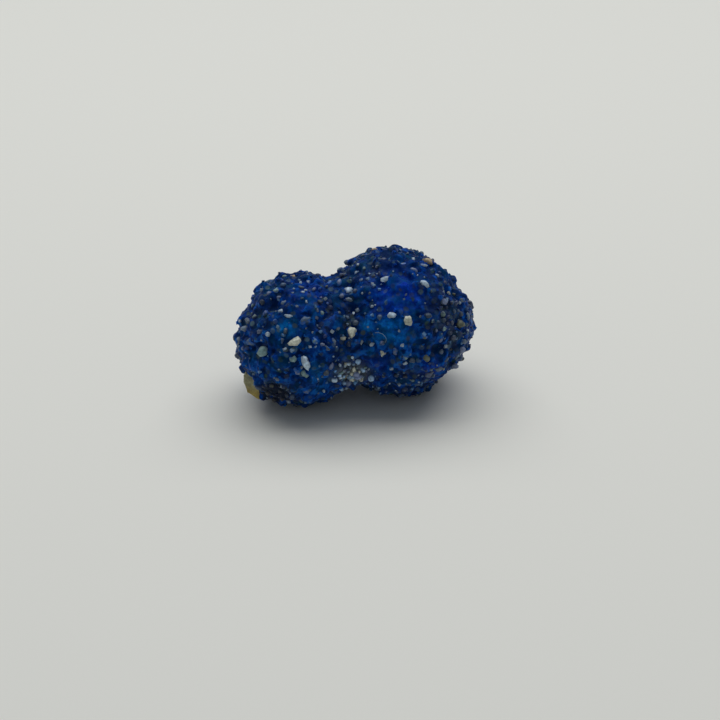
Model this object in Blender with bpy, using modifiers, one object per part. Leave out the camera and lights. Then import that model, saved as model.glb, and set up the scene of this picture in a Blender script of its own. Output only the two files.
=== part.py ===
"""Azurite nodule: two sand-filled azurite balls that grew into each other, as one solid stone.

The long axis runs along X and +Y is the back. The stone stands on Z = 0 on two worn patches, one
under each ball, and the origin is the middle of its footprint. Lengths among the constants are in
millimetres, and the functions turn them into metres as they place a shape.
"""

from math import cos, exp, radians, sin
from random import Random

import bmesh
import bpy
from mathutils import Matrix, Vector, noise
from mathutils.bvhtree import BVHTree

MM = 0.001

# The two balls. Both reach a little below Z = 0, where the worn patches are cut.
SMALL_BALL_CENTRE = Vector((-4.6, -1.3, 5.2))
SMALL_BALL_RADIUS = 5.36
LARGE_BALL_CENTRE = Vector((3.67, 0.66, 5.85))
LARGE_BALL_RADIUS = 6.11
BALL_SUBDIVISIONS = 5

# The display side is seen from in front and above: how far above the horizon, the point it is
# seen around, and how far away the eye is.
DISPLAY_TILT = radians(30)
DISPLAY_AIM = Vector((0.35, 0, 2.55))
DISPLAY_DISTANCE = 139.4
ACROSS = Vector((1, 0, 0))
UPWARDS = Vector((0, sin(DISPLAY_TILT), cos(DISPLAY_TILT)))
TOWARDS = Vector((0, -cos(DISPLAY_TILT), sin(DISPLAY_TILT)))
EYE = DISPLAY_AIM + TOWARDS * DISPLAY_DISTANCE

# Broad swells (positive) and flats (negative) of each ball: the direction as (across, up, towards)
# on the display side, the height, and the half-width in degrees.
SMALL_BALL_SWELLS = [
    ((-0.50, 0.87, 0.0), 0.20, 24),
    ((-0.87, 0.50, 0.0), -0.40, 20),
    ((0.20, 0.98, 0.0), 0.15, 16),
    ((-1.00, 0.05, 0.1), -0.20, 20),
    ((-0.95, 0.25, 0.0), -0.12, 12),
    ((-0.30, -0.95, 0.0), 0.20, 10),
    ((-0.90, -0.45, 0.0), -0.25, 16),
    ((0.10, 0.30, -1.0), -0.45, 40),
]
LARGE_BALL_SWELLS = [
    ((-0.66, 0.75, 0.0), 0.45, 24),
    ((0.80, 0.60, 0.0), -0.70, 24),
    ((0.55, 0.83, 0.0), -0.35, 18),
    ((0.66, -0.75, 0.0), -0.50, 24),
    ((0.95, -0.35, 0.0), -0.20, 10),
    ((1.00, 0.08, 0.0), 0.20, 8),
    ((0.20, -0.20, -1.0), -0.50, 36),
]
ROLL_HEIGHT = 0.20
ROLL_LENGTH = 2.6

# The ledge along the lower edge of the large ball, and pits in the crust: how far across and up
# from the aim the middle is seen, half the length, half the width, and the height, which is
# negative for a pit.
LEDGES_AND_PITS = [
    (4.3, -2.9, 2.4, 0.8, 0.50),
    (2.2, -2.7, 1.6, 0.6, 0.25),
    (-7.2, 4.5, 0.50, 0.45, -0.45),
    (-0.6, 4.3, 0.45, 0.70, -0.50),
    (2.1, 7.6, 0.45, 0.35, -0.35),
    (6.0, 4.4, 0.45, 0.35, -0.35),
    (6.5, 0.9, 0.50, 0.45, -0.40),
    (7.7, 2.2, 0.40, 0.40, -0.35),
    (-6.8, -2.8, 0.70, 0.45, -0.40),
]

# The collar of cemented sand that fills the groove between the balls, and how it blends into them.
COLLAR_CENTRE = Vector((-0.85, -0.3, 5.45))
COLLAR_RADIUS = 4.75
COLLAR_HALF_THICKNESS = 2.3
BLEND_GRID = 0.24
BLEND_STEPS = 6

# Intergrown azurite crystals: each covers one cell of the surface with a tilted flat face.
CRYSTAL_WIDTH = 1.0
CRYSTAL_LIFT = 0.13
CRYSTAL_TILT = 0.42
CRACK_DEPTH = 0.20
CRACK_WIDTH = 0.30

# The largest pale sand grains that stand out of the azurite: how far across and up from the aim
# each is seen, its length, its width, and its turn in degrees.
SAND_GRAINS = [
    (-5.3, 1.5, 1.10, 0.68, 25),
    (-4.5, -0.2, 1.35, 0.75, 105),
    (-8.1, 0.6, 1.00, 0.85, 0),
    (-5.5, 0.1, 0.65, 0.60, 0),
    (-4.5, 3.3, 1.00, 0.75, 40),
    (-3.7, 1.7, 0.70, 0.60, 0),
    (-9.0, 1.5, 0.95, 0.75, 30),
    (-5.2, -0.8, 0.85, 0.68, 80),
    (-4.4, -2.6, 0.75, 0.52, 0),
    (-1.0, 5.8, 1.10, 0.75, 20),
    (2.1, 6.7, 0.95, 0.50, 12),
    (5.3, 6.3, 0.85, 0.52, -40),
    (2.6, 3.7, 0.78, 0.50, 10),
    (4.0, 3.2, 0.82, 0.70, 80),
    (-0.7, 2.2, 0.92, 0.76, 75),
    (1.9, 0.6, 0.80, 0.50, 95),
    (3.7, 0.2, 0.75, 0.62, 20),
    (5.4, 0.1, 0.78, 0.66, 0),
    (8.3, 3.0, 0.75, 0.66, 0),
    (9.3, 4.1, 0.80, 0.42, 100),
    (5.5, 8.2, 0.92, 0.58, -15),
]
GRAIN_SINK = 0.10

# The chip of host sandstone that the small ball still holds, low on its left side: a block, and
# its broken edges, each cut square to a direction and this far from the block's middle.
CHIP_CENTRE = Vector((-7.8, -3.15, 2.2))
CHIP_SIZE = Vector((1.75, 1.9, 2.5))
CHIP_TURN = radians(-24)
CHIP_BREAKS = [
    (Vector((-0.41, 0.0, -0.91)), 0.77),
    (Vector((-0.6, -0.5, 0.6)), 1.50),
    (Vector((0.1, -0.35, 0.93)), 1.25),
    (Vector((-0.75, -0.6, -0.2)), 1.15),
    (Vector((-0.7, 0.7, 0.0)), 1.05),
]

# Triangles of the crystal crust, before the grains and the chip join it.
STONE_TRIANGLES = 8300
FLOOR_BLOCK = Vector((40, 40, 4))
SEED = 11


def remove_all():
    for found in list(bpy.data.objects):
        bpy.data.objects.remove(found, do_unlink=True)


def collection(name):
    made = bpy.data.collections.new(name)
    bpy.context.scene.collection.children.link(made)
    return made


def mineral(name, colour, roughness):
    made = bpy.data.materials.new(name)
    made.use_nodes = True
    shader = made.node_tree.nodes["Principled BSDF"]
    shader.inputs["Base Color"].default_value = (*colour, 1)
    shader.inputs["Roughness"].default_value = roughness
    shader.inputs["Metallic"].default_value = 0
    return made


def object_from(shape, name, material, home):
    """A mesh object from a bmesh in millimetres."""
    bmesh.ops.transform(shape, matrix=Matrix.Scale(MM, 4), verts=shape.verts)
    mesh = bpy.data.meshes.new(name)
    shape.to_mesh(mesh)
    shape.free()
    mesh.materials.append(material)
    made = bpy.data.objects.new(name, mesh)
    home.objects.link(made)
    return made


def helper(made):
    """Marks a shape that only joins or cuts the stone."""
    made.hide_render = True
    made.display_type = "WIRE"
    return made


def apply_modifiers(made):
    """Makes the object's mesh what its modifiers give."""
    seen = made.evaluated_get(bpy.context.evaluated_depsgraph_get())
    made.data = bpy.data.meshes.new_from_object(seen)
    made.modifiers.clear()


def boolean(stone, other, operation):
    made = stone.modifiers.new(f"{operation.lower()} {other.name}", "BOOLEAN")
    made.operation = operation
    made.solver = "EXACT"
    made.object = other
    made.material_mode = "TRANSFER"


def on_display_side(across, up, towards=0.0):
    return ACROSS * across + UPWARDS * up + TOWARDS * towards


def swell_at(direction, swells):
    """Height of the broad swells and flats in one direction from a ball's centre."""
    height = 0.0
    for (across, up, towards), most, half_width in swells:
        peak = on_display_side(across, up, towards).normalized()
        height += most * exp(-((direction.angle(peak) / radians(half_width)) ** 2))
    return height


def ball(centre, radius, swells):
    """A ball with its swells and flats, and a rolling surface."""
    shape = bmesh.new()
    bmesh.ops.create_icosphere(shape, subdivisions=BALL_SUBDIVISIONS, radius=radius)
    for vert in shape.verts:
        direction = vert.co.normalized()
        roll = noise.noise((centre + vert.co) / ROLL_LENGTH) * ROLL_HEIGHT
        vert.co = centre + direction * (radius + swell_at(direction, swells) + roll)
    return shape


def collar():
    """The disc of cemented sand in the groove, square to the line between the balls."""
    shape = bmesh.new()
    bmesh.ops.create_icosphere(shape, subdivisions=4, radius=1)
    along = (LARGE_BALL_CENTRE - SMALL_BALL_CENTRE).to_track_quat("X", "Z").to_matrix().to_4x4()
    sizes = Matrix.Diagonal((COLLAR_HALF_THICKNESS, COLLAR_RADIUS, COLLAR_RADIUS, 1))
    placed = Matrix.Translation(COLLAR_CENTRE) @ along @ sizes
    bmesh.ops.transform(shape, matrix=placed, verts=shape.verts)
    return shape


def blend(stone):
    """Melts the balls and the collar into one even surface."""
    remesh = stone.modifiers.new("one surface", "REMESH")
    remesh.mode = "VOXEL"
    remesh.voxel_size = BLEND_GRID * MM
    smooth = stone.modifiers.new("soft groove", "SMOOTH")
    smooth.iterations = BLEND_STEPS
    apply_modifiers(stone)


def surface_tree(mesh):
    """The stone's surface in millimetres, for finding where a feature sits."""
    shape = bmesh.new()
    shape.from_mesh(mesh)
    bmesh.ops.transform(shape, matrix=Matrix.Scale(1 / MM, 4), verts=shape.verts)
    tree = BVHTree.FromBMesh(shape)
    shape.free()
    return tree


def on_surface(tree, across, up):
    """The point seen at a place on the display side, and its outward direction."""
    on_plane = DISPLAY_AIM + on_display_side(across, up)
    point, outwards, _, _ = tree.ray_cast(EYE, (on_plane - EYE).normalized())
    if point is None:
        point, outwards, _, _ = tree.find_nearest(on_plane)
    return point, outwards


def crystal_height(point):
    """Height of the crystal crust: a flat face in each cell, with a crack around it."""
    distances, sites = noise.voronoi(point / CRYSTAL_WIDTH)
    site = sites[0]
    lift = noise.cell(site * 97) * CRYSTAL_LIFT
    tilt = (noise.cell_vector(site * 89) - Vector((0.5, 0.5, 0.5))) * CRYSTAL_TILT
    slope = tilt.dot(point / CRYSTAL_WIDTH - site) * 2
    from_crack = (distances[1] - distances[0]) / CRACK_WIDTH
    crack = CRACK_DEPTH * max(0.0, 1 - from_crack)
    return lift + slope - crack


def ledge_or_pit_height(point, features):
    height = 0.0
    for (_, _, half_length, half_width, most), middle in features:
        away = point - middle
        if away.length < 3 * half_length:
            along = away.dot(ACROSS) / half_length
            rest = (away - ACROSS * away.dot(ACROSS)).length / half_width
            height += most * exp(-(along**2) - rest**2)
    return height


def raise_crust(stone):
    """Raises the ledges and crystals out of the blended balls, and sinks the pits."""
    mesh = stone.data
    tree = surface_tree(mesh)
    middles = [on_surface(tree, *feature[:2])[0] for feature in LEDGES_AND_PITS]
    features = list(zip(LEDGES_AND_PITS, middles))
    moved = []
    for vert in mesh.vertices:
        point = vert.co / MM
        height = crystal_height(point) + ledge_or_pit_height(point, features)
        moved.append((point + vert.normal * height) * MM)
    for vert, place in zip(mesh.vertices, moved):
        vert.co = place
    mesh.update()


def thin_out(stone):
    """Leaves only as many triangles as the crystal faces need."""
    stone.data.calc_loop_triangles()
    fewer = stone.modifiers.new("fewer triangles", "DECIMATE")
    fewer.ratio = STONE_TRIANGLES / len(stone.data.loop_triangles)
    apply_modifiers(stone)


def add_grain(shape, place, turn, sizes, rng):
    """Adds one flat-faced grain. Its sizes are along, across and out of the display side."""
    made = bmesh.ops.create_icosphere(shape, subdivisions=1, radius=0.5)["verts"]
    for vert in made:
        vert.co *= rng.uniform(0.86, 1.1)
    spin = Matrix.Rotation(turn, 4, "Z")
    facing = Matrix((ACROSS, UPWARDS, TOWARDS)).transposed().to_4x4()
    placed = Matrix.Translation(place) @ facing @ spin @ Matrix.Diagonal((*sizes, 1))
    bmesh.ops.transform(shape, matrix=placed, verts=made)


def sand_grains(tree, rng):
    """The pale grains, each set on the surface behind its place on the display side."""
    shape = bmesh.new()
    for across, up, length, width, turn in SAND_GRAINS:
        place, outwards = on_surface(tree, across, up)
        middle = place - outwards * GRAIN_SINK * width
        add_grain(shape, middle, radians(turn), (length, width, width), rng)
    return shape


def sandstone_chip():
    """A block of host rock with broken edges."""
    shape = bmesh.new()
    bmesh.ops.create_cube(shape, size=1)
    bmesh.ops.transform(shape, matrix=Matrix.Diagonal((*CHIP_SIZE, 1)), verts=shape.verts)
    for direction, reach in CHIP_BREAKS:
        outwards = direction.normalized()
        bmesh.ops.bisect_plane(
            shape,
            geom=shape.verts[:] + shape.edges[:] + shape.faces[:],
            plane_co=outwards * reach,
            plane_no=outwards,
            clear_outer=True,
        )
        bmesh.ops.holes_fill(shape, edges=shape.edges)
    bmesh.ops.recalc_face_normals(shape, faces=shape.faces)
    placed = Matrix.Translation(CHIP_CENTRE) @ Matrix.Rotation(CHIP_TURN, 4, "Z")
    bmesh.ops.transform(shape, matrix=placed, verts=shape.verts)
    return shape


def floor_block():
    shape = bmesh.new()
    bmesh.ops.create_cube(shape, size=1)
    placed = Matrix.Translation((0, 0, -FLOOR_BLOCK.z / 2)) @ Matrix.Diagonal((*FLOOR_BLOCK, 1))
    bmesh.ops.transform(shape, matrix=placed, verts=shape.verts)
    return shape


def main():
    remove_all()
    rng = Random(SEED)
    parts = collection("azurite specimen")
    helpers = collection("joined and cut shapes")
    azurite = mineral("azurite", (0.008, 0.03, 0.14), 0.45)
    sand = mineral("pale sand", (0.42, 0.42, 0.38), 0.5)
    sandstone = mineral("buff sandstone", (0.30, 0.24, 0.13), 0.8)

    stone = object_from(
        ball(SMALL_BALL_CENTRE, SMALL_BALL_RADIUS, SMALL_BALL_SWELLS), "azurite_nodule", azurite, parts
    )
    large_ball = helper(
        object_from(
            ball(LARGE_BALL_CENTRE, LARGE_BALL_RADIUS, LARGE_BALL_SWELLS), "large ball", azurite, helpers
        )
    )
    filled_groove = helper(object_from(collar(), "collar", azurite, helpers))
    boolean(stone, large_ball, "UNION")
    boolean(stone, filled_groove, "UNION")
    blend(stone)
    raise_crust(stone)
    thin_out(stone)

    tree = surface_tree(stone.data)
    pale_grains = helper(object_from(sand_grains(tree, rng), "sand grains", sand, helpers))
    chip = helper(object_from(sandstone_chip(), "sandstone chip", sandstone, helpers))
    boolean(stone, pale_grains, "UNION")
    boolean(stone, chip, "UNION")
    floor = helper(object_from(floor_block(), "floor block", azurite, helpers))
    boolean(stone, floor, "DIFFERENCE")


main()
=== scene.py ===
"""Azurite nodule: two sand-filled azurite balls grown together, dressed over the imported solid."""

from math import cos, pi, radians, sin
from random import Random

import bmesh
import bpy
import numpy as np
from mathutils import Matrix, Vector, noise
from mathutils.bvhtree import BVHTree


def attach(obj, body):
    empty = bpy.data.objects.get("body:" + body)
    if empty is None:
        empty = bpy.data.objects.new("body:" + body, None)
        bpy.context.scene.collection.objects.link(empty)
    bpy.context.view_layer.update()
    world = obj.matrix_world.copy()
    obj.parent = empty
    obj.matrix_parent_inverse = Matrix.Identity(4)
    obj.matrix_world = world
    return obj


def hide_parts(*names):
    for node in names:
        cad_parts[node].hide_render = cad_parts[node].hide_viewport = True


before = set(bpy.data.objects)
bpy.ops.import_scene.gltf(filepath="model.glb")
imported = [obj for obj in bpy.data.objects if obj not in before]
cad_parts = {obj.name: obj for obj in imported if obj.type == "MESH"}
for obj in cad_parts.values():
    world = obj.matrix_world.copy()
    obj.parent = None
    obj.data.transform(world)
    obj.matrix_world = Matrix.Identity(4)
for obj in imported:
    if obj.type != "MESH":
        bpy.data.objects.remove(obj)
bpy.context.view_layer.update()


# --- Surface, light and camera ---
# The stone stands on a plain pale sheet under a wide soft light a little behind it. Its display
# side is the one seen from in front and 30 degrees above.

MM = 0.001

# The view looks down by a tilt. Across, upwards and towards are its own three directions.
VIEW_TILT = radians(30)
VIEW_DISTANCE = 139.4 * MM
VIEW_ANGLE = radians(24)
VIEW_AIM = Vector((0.35, 0, 2.55)) * MM
ACROSS = Vector((1, 0, 0))
UPWARDS = Vector((0, sin(VIEW_TILT), cos(VIEW_TILT)))
TOWARDS = Vector((0, -cos(VIEW_TILT), sin(VIEW_TILT)))
EYE = VIEW_AIM + TOWARDS * VIEW_DISTANCE

SHEET_SIDE = 3.0
SHEET_COLOUR = (0.80, 0.795, 0.74)
SKY_COLOUR = (0.86, 0.93, 1.0)
SKY_STRENGTH = 0.21
SOFT_LIGHT_PLACE = Vector((0, 120, 298)) * MM
SOFT_LIGHT_WIDTH = 560 * MM
SOFT_LIGHT_DEPTH = 290 * MM
SOFT_LIGHT_WATTS = 1.05


def open_socket(sockets, name):
    """The socket in use under a name, or the one at a position."""
    if isinstance(name, int):
        return sockets[name]
    return next(found for found in sockets if found.enabled and found.name == name)


def wire(tree, kind, inputs=(), out=None, **settings):
    """Adds a node and gives its output socket. An input takes a value or another output socket."""
    made = tree.nodes.new(kind)
    for name, value in settings.items():
        setattr(made, name, value)
    for name, value in dict(inputs).items():
        socket = open_socket(made.inputs, name)
        if isinstance(value, bpy.types.NodeSocket):
            tree.links.new(value, socket)
        else:
            socket.default_value = value
    if out is None:
        return next(found for found in made.outputs if found.enabled)
    return open_socket(made.outputs, out)


def new_material(name):
    """A new material, its node tree, and the inputs of its surface shader."""
    made = bpy.data.materials.new(name)
    made.use_nodes = True
    return made, made.node_tree, made.node_tree.nodes["Principled BSDF"].inputs


def mesh_object(shape, name):
    """Turns a bmesh in metres into an object at the origin."""
    mesh = bpy.data.meshes.new(name)
    shape.to_mesh(mesh)
    shape.free()
    made = bpy.data.objects.new(name, mesh)
    bpy.context.scene.collection.objects.link(made)
    return made


bpy.context.scene.view_settings.view_transform = "Standard"

sheet_shape = bmesh.new()
bmesh.ops.create_grid(sheet_shape, x_segments=1, y_segments=1, size=SHEET_SIDE / 2)
pale_sheet = mesh_object(sheet_shape, "pale_sheet")
sheet_finish, _, sheet_shader = new_material("pale sheet")
sheet_shader["Base Color"].default_value = (*SHEET_COLOUR, 1)
sheet_shader["Roughness"].default_value = 0.65
pale_sheet.data.materials.append(sheet_finish)

sky = bpy.data.worlds.new("soft room light")
sky.use_nodes = True
sky_inputs = sky.node_tree.nodes["Background"].inputs
sky_inputs["Color"].default_value = (*SKY_COLOUR, 1)
sky_inputs["Strength"].default_value = SKY_STRENGTH
bpy.context.scene.world = sky

soft_light_data = bpy.data.lights.new("soft light", "AREA")
soft_light_data.shape = "RECTANGLE"
soft_light_data.size = SOFT_LIGHT_WIDTH
soft_light_data.size_y = SOFT_LIGHT_DEPTH
soft_light_data.energy = SOFT_LIGHT_WATTS
soft_light = bpy.data.objects.new("soft light", soft_light_data)
soft_light.location = SOFT_LIGHT_PLACE
soft_light.rotation_euler = (-SOFT_LIGHT_PLACE).to_track_quat("-Z", "Y").to_euler()
bpy.context.scene.collection.objects.link(soft_light)

camera_data = bpy.data.cameras.new("camera")
camera_data.angle = VIEW_ANGLE
camera_data.clip_start = 5 * MM
camera = bpy.data.objects.new("camera", camera_data)
camera.location = EYE
camera.rotation_euler = (radians(90) - VIEW_TILT, 0, 0)
bpy.context.scene.collection.objects.link(camera)
bpy.context.scene.camera = camera


# --- Azurite crust ---
# Quartz sand cemented by azurite into two balls that met. The azurite coats the outer grains and
# runs from one to the next, so the crust is one lumpy skin with a bump for each grain under it.

CRUST_GRID = 0.115 * MM
CRUST_INSET = 0.07 * MM
FIRST_SMOOTHING = 1
CRUST_SMOOTHING = 3
MERGE_DISTANCE = 0.001 * MM

# A lift is a share of a grain's own size, and a negative one sinks it. Sizes lean to the small end
# by a power, and a spread tries the spare points in each square of its spacing.
COATED_GRAIN_SHAPES = 10
COATED_GRAIN_SPACING = 0.58 * MM
COATED_GRAIN_SIZES = (0.50 * MM, 1.10 * MM)
COATED_GRAIN_LIFT = -0.20
COATED_GRAIN_ROUGHNESS = 0.30
GRAIN_FLATS = 7
GRAIN_FLAT_REACH = (0.30, 0.45)
GRAIN_STRETCH = (0.6, 1.2)
SMALL_SIZE_POWER = 1.5
SPARE_POINTS = 1.2

TONE_WIDTH = 0.45 * MM
HOLLOW_REACH = 8
HOLLOW_DEPTH = 0.06 * MM
FACING_SHARPNESS = 4
PATCH_THRESHOLD = 0.18
PATCH_CONTRAST = 2

# Zones of the display side: the middle (across, up) from the aim point and the half-sizes, in
# millimetres, and the strength there.
AZURE_ZONES = [
    (-6.2, 2.6, 0.75, 0.6, 1.0),
    (-3.5, -1.5, 0.5, 0.5, 0.55),
    (0.6, 2.8, 0.45, 0.45, 1.0),
    (2.4, 2.9, 0.9, 0.5, 0.8),
    (2.7, 1.9, 1.6, 0.5, 0.8),
]
ULTRAMARINE_ZONES = [
    (3.2, 5.4, 1.8, 1.6, 1.0),
    (-4.2, 5.2, 1.4, 1.0, 0.5),
    (5.8, -0.6, 0.9, 0.7, 0.5),
    (1.2, -0.6, 1.0, 0.8, 0.5),
]
SANDY_ZONES = [
    (-0.9, 4.2, 0.7, 2.6, 1.0),
    (7.4, 2.6, 1.7, 3.0, 1.0),
    (0.4, 6.9, 1.8, 1.2, 0.6),
    (-2.8, 3.0, 1.3, 2.2, 0.5),
    (4.2, -1.0, 2.6, 1.2, 0.5),
    (-8.4, 3.0, 1.2, 2.4, 0.4),
]
BARE_SANDSTONE_ZONES = [(-0.6, -1.1, 1.1, 0.66, 2.5)]
DARK_SAND_ZONES = [(-7.0, -2.7, 1.2, 0.8, 2.0), (-5.9, -3.4, 0.8, 0.4, 1.2)]
# Pits and a few wider dark areas, where painted shade darkens the azurite.
PIT_SHADE_ZONES = [
    (-0.6, 4.3, 0.5, 0.8, 1.0),
    (-7.2, 4.5, 0.5, 0.5, 1.0),
    (2.1, 7.6, 0.5, 0.4, 0.9),
    (6.0, 4.4, 0.6, 0.5, 0.9),
    (6.5, 0.9, 0.6, 0.5, 0.9),
    (7.7, 2.2, 0.6, 0.5, 0.8),
    (-1.2, 3.4, 0.5, 0.5, 0.7),
    (-2.0, 0.4, 0.5, 0.4, 0.6),
    (3.9, 1.9, 0.4, 0.4, 0.5),
    (0.4, -0.1, 0.5, 0.4, 0.6),
    (7.2, 1.7, 1.3, 1.7, 0.4),
    (1.5, 7.6, 2.4, 0.8, 0.3),
    (2.6, -2.5, 2.6, 0.45, 0.6),
    (4.6, -1.5, 2.2, 0.9, 0.3),
]
# Pale specks: small bare grains, and painted glints that stand for light caught on crystals.
SPECK_AND_GLINT_ZONES = [
    (2.6, -3.35, 3.2, 0.35, 1.0),
    (5.0, -1.7, 2.4, 1.0, 1.0),
    (-4.4, 5.0, 1.6, 1.2, 0.8),
    (0.6, 2.6, 1.0, 0.8, 1.0),
    (-3.6, 1.9, 1.4, 1.2, 0.8),
]

# Each mark on the crust: its zones, the size in millimetres, the seed and the strength of its
# patches on the sides that the zones leave out, and its least strength anywhere.
SURFACE_MARKS = {
    "azure": (AZURE_ZONES, 1.3, 5, 0.35, 0),
    "ultramarine": (ULTRAMARINE_ZONES, 2.4, 9, 0.5, 0),
    "sandiness": (SANDY_ZONES, 3.0, 13, 1, 0.1),
    "bare_sandstone": (BARE_SANDSTONE_ZONES, None, None, 0, 0),
    "dark_sand": (DARK_SAND_ZONES, None, None, 0, 0),
    "pit_shade": (PIT_SHADE_ZONES, 1.1, 17, 1, 0),
    "specks_and_glints": (SPECK_AND_GLINT_ZONES, None, None, 0, 0.25),
    "off_the_chip": ((), None, None, 0, 1),
}

# The chip of host rock on the small ball: its middle, its sizes, and its turn about Z. It ends at
# CHIP_RIGHT from its middle, and grains of sand keep the margin clear of it.
CHIP_CENTRE = Vector((-7.8, -3.15, 2.4)) * MM
CHIP_SIZE = Vector((1.75, 1.9, 2.5)) * MM
CHIP_TURN = radians(-24)
CHIP_RIGHT = 0.45 * MM
CHIP_MARGIN = 0.28 * MM

# The crust there is pressed back to behind the chip's front and down to under its top, as far as
# this room above and below it.
CHIP_FRONT = -0.80 * MM
CHIP_TOP = 1.10 * MM
CHIP_ROOM = 0.9 * MM


def settle_modifiers(piece):
    """Makes the piece's mesh what its modifiers give, and removes them."""
    seen = piece.evaluated_get(bpy.context.evaluated_depsgraph_get())
    piece.data = bpy.data.meshes.new_from_object(seen)
    piece.modifiers.clear()


def run_geometry_nodes(piece, tree, values):
    """Runs a node tree on the piece with its named inputs set, and keeps the result."""
    modifier = piece.modifiers.new(tree.name, "NODES")
    modifier.node_group = tree
    for item in tree.interface.items_tree:
        if item.item_type == "SOCKET" and item.in_out == "INPUT" and item.name in values:
            modifier[item.identifier] = values[item.name]
    settle_modifiers(piece)


def new_tree(kind, name, sockets, results):
    """A node tree with named inputs and results, its inputs, and what takes its results."""
    tree = bpy.data.node_groups.new(name, kind)
    for direction, named in (("INPUT", sockets), ("OUTPUT", results)):
        for socket, form in named.items():
            tree.interface.new_socket(socket, in_out=direction, socket_type=f"NodeSocket{form}")
    given = tree.nodes.new("NodeGroupInput").outputs
    result = tree.nodes.new("NodeGroupOutput").inputs
    return tree, given, result


def new_geometry_tree(name, sockets):
    """A node tree that takes geometry with the named inputs, and gives geometry."""
    shape = {"Geometry": "Geometry"}
    tree, given, result = new_tree("GeometryNodeTree", name, {**shape, **sockets}, shape)
    return tree, given, result["Geometry"]


def calculate(tree, operation, first, second, third=0.0):
    """What an operation makes of two or three numbers."""
    inputs = {0: first, 1: second, 2: third}
    return wire(tree, "ShaderNodeMath", inputs, operation=operation)


def product(tree, first, second):
    """One number times another."""
    return calculate(tree, "MULTIPLY", first, second)


def scaled(tree, value, factor, offset):
    """A value times a factor, plus an offset."""
    return calculate(tree, "MULTIPLY_ADD", value, factor, offset)


def in_range(tree, value, first, last, least=0.0, most=1.0, **settings):
    """Takes a value between first and last to one between least and most, and stops there."""
    inputs = {"Value": value, "From Min": first, "From Max": last, "To Min": least, "To Max": most}
    return wire(tree, "ShaderNodeMapRange", inputs, **settings)


def rubbed_flat(tree, geometry):
    """Keeps the geometry from reaching below the surface that the stone rests on."""
    place = wire(tree, "GeometryNodeInputPosition")
    parts = wire(tree, "ShaderNodeSeparateXYZ", {"Vector": place}).node.outputs
    height = calculate(tree, "MAXIMUM", parts["Z"], 0.0)
    above = wire(tree, "ShaderNodeCombineXYZ", {"X": parts["X"], "Y": parts["Y"], "Z": height})
    return wire(tree, "GeometryNodeSetPosition", {"Geometry": geometry, "Position": above})


def stored(tree, geometry, name, value, **settings):
    """The geometry with a value stored on it under a name."""
    inputs = {"Geometry": geometry, "Name": name, "Value": value}
    return wire(tree, "GeometryNodeStoreNamedAttribute", inputs, **settings)


def random_direction(rng):
    """A direction of length 1, any way."""
    return Vector((rng.gauss(0, 1), rng.gauss(0, 1), rng.gauss(0, 1))).normalized()


def worn_grain(rng, roughness):
    """A sand grain about 1 across: rounded, with a few worn flats and dents."""
    shape = bmesh.new()
    bmesh.ops.create_icosphere(shape, subdivisions=2, radius=0.5)
    flats = [
        (random_direction(rng), rng.uniform(*GRAIN_FLAT_REACH)) for _ in range(GRAIN_FLATS)
    ]
    for vert in shape.verts:
        for direction, reach in flats:
            over = vert.co.dot(direction) - reach
            if over > 0:
                vert.co -= direction * over
        vert.co *= 1 + rng.uniform(-roughness, roughness) / 2
    for face in shape.faces:
        face.smooth = True
    return shape


def shape_collection(name, shapes):
    """A collection of small shapes for a scatter to pick from. It is not part of the scene."""
    made = bpy.data.collections.new(name)
    for number, shape in enumerate(shapes):
        single = mesh_object(shape, f"{name} {number}")
        bpy.context.scene.collection.objects.unlink(single)
        made.objects.link(single)
    return made


def random_vector(tree, least, most, seed):
    """Three random numbers for each point."""
    inputs = {"Min": (least,) * 3, "Max": (most,) * 3, "Seed": seed}
    return wire(tree, "FunctionNodeRandomValue", inputs, data_type="FLOAT_VECTOR")


def spread_instances(tree, given):
    """Instances of the given shapes over the given surface, each with its own turn and size."""
    area = product(tree, given["Spacing"], given["Spacing"])
    share = wire(tree, "GeometryNodeInputNamedAttribute", {"Name": given["Where"]})
    spread = wire(
        tree,
        "GeometryNodeDistributePointsOnFaces",
        {
            "Mesh": given["Geometry"],
            "Distance Min": given["Spacing"],
            "Density Max": calculate(tree, "DIVIDE", SPARE_POINTS, area),
            "Density Factor": share,
            "Seed": given["Seed"],
        },
        distribute_method="POISSON",
    ).node.outputs
    chance = wire(tree, "FunctionNodeRandomValue", {"Min": 0.0, "Max": 1.0, "Seed": 1})
    chance = calculate(tree, "POWER", chance, SMALL_SIZE_POWER)
    size = in_range(tree, chance, 0.0, 1.0, given["Least Size"], given["Most Size"])
    lift = product(tree, size, given["Lift"])
    outwards = {0: spread["Normal"], "Scale": lift}
    offset = wire(tree, "ShaderNodeVectorMath", outwards, operation="SCALE")
    lifted = {"Geometry": spread["Points"], "Offset": offset}
    stretched = {0: random_vector(tree, *GRAIN_STRETCH, 3), "Scale": size}
    shapes = {"Collection": given["Shapes"], "Separate Children": True, "Reset Children": True}
    return wire(
        tree,
        "GeometryNodeInstanceOnPoints",
        {
            "Points": wire(tree, "GeometryNodeSetPosition", lifted),
            "Instance": wire(tree, "GeometryNodeCollectionInfo", shapes),
            "Pick Instance": True,
            "Rotation": random_vector(tree, 0.0, 2 * pi, 2),
            "Scale": wire(tree, "ShaderNodeVectorMath", stretched, operation="SCALE"),
        },
    )


SPREAD_SOCKETS = {
    "Shapes": "Collection",
    "Where": "String",
    "Spacing": "Float",
    "Least Size": "Float",
    "Most Size": "Float",
    "Lift": "Float",
    "Seed": "Int",
}


def coated_grain_tree():
    """Sets grains half into the crust, for one skin to be drawn over both."""
    tree, given, result = new_geometry_tree("coated grains", SPREAD_SOCKETS)
    spread = {"Geometry": spread_instances(tree, given)}
    grains = wire(tree, "GeometryNodeRealizeInstances", spread)
    joined = tree.nodes.new("GeometryNodeJoinGeometry")
    tree.links.new(grains, joined.inputs[0])
    tree.links.new(given["Geometry"], joined.inputs[0])
    tree.links.new(joined.outputs[0], result)
    return tree


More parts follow.
